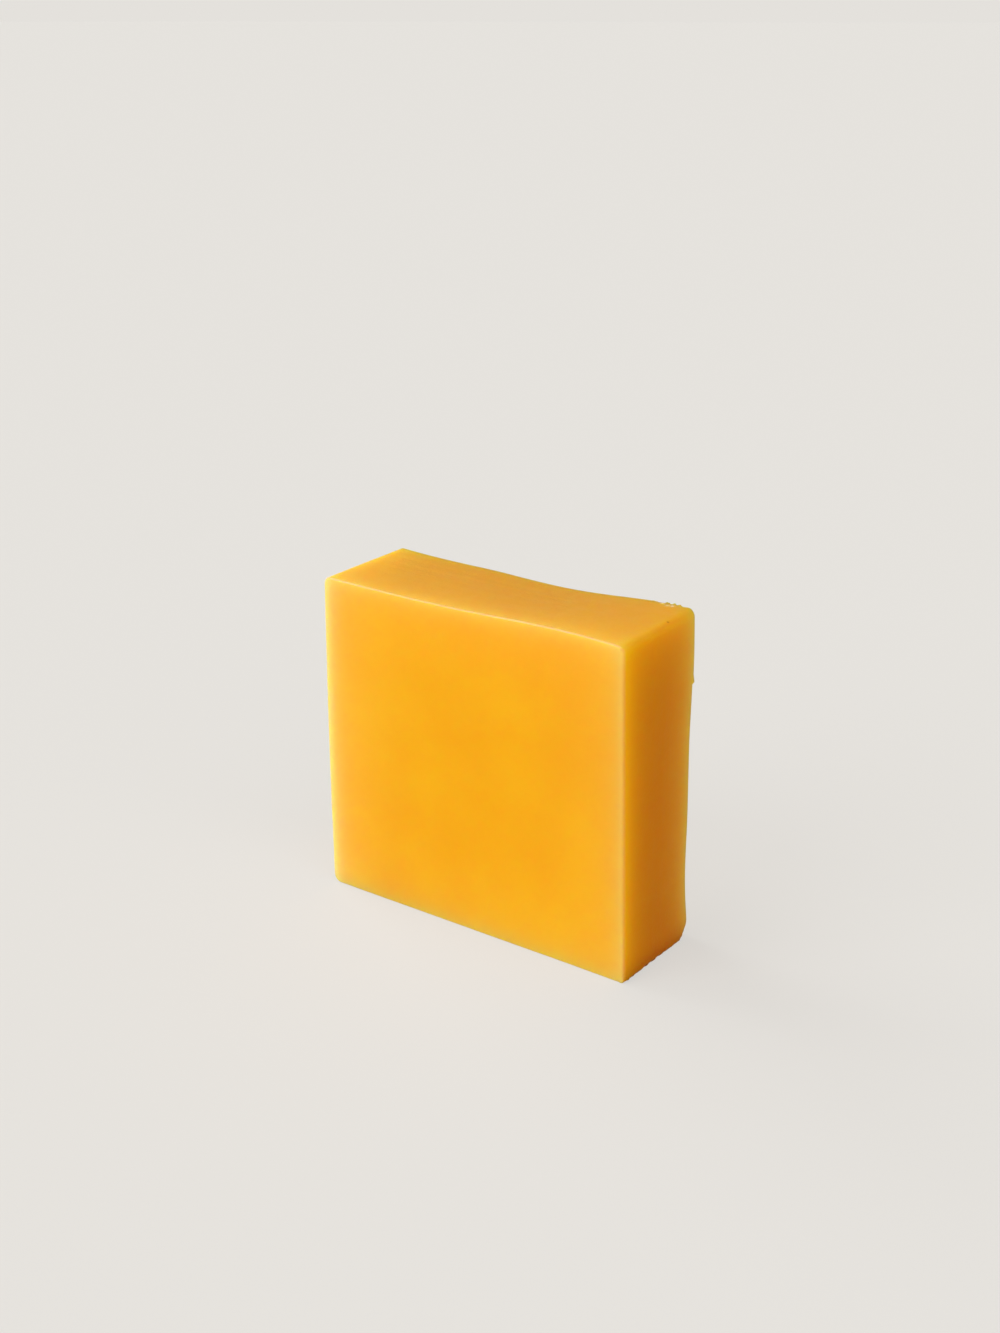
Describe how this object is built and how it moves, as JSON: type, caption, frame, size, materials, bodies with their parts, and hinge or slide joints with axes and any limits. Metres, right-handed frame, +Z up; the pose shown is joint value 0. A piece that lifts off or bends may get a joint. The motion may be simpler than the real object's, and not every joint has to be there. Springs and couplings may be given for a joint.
{
  "type": "clay bar",
  "caption": "Rectangular translucent amber bar with softly rounded edges, standing on a narrow side; solid all through, with no fastening features.",
  "frame": {"origin": "middle of the base: the centre of the bar's box in X and Y, on the surface that the bar stands on", "axes": "+Z up through the bar's height, +X along the long base edge, +Y from the front large face to the rear large face, through the thickness"},
  "size_m": [0.0768, 0.0254, 0.0714],
  "materials": {
    "clay": "satin"
  },
  "bodies": {
    "root": {"clay_bar": "clay"}
  },
  "joints": []
}
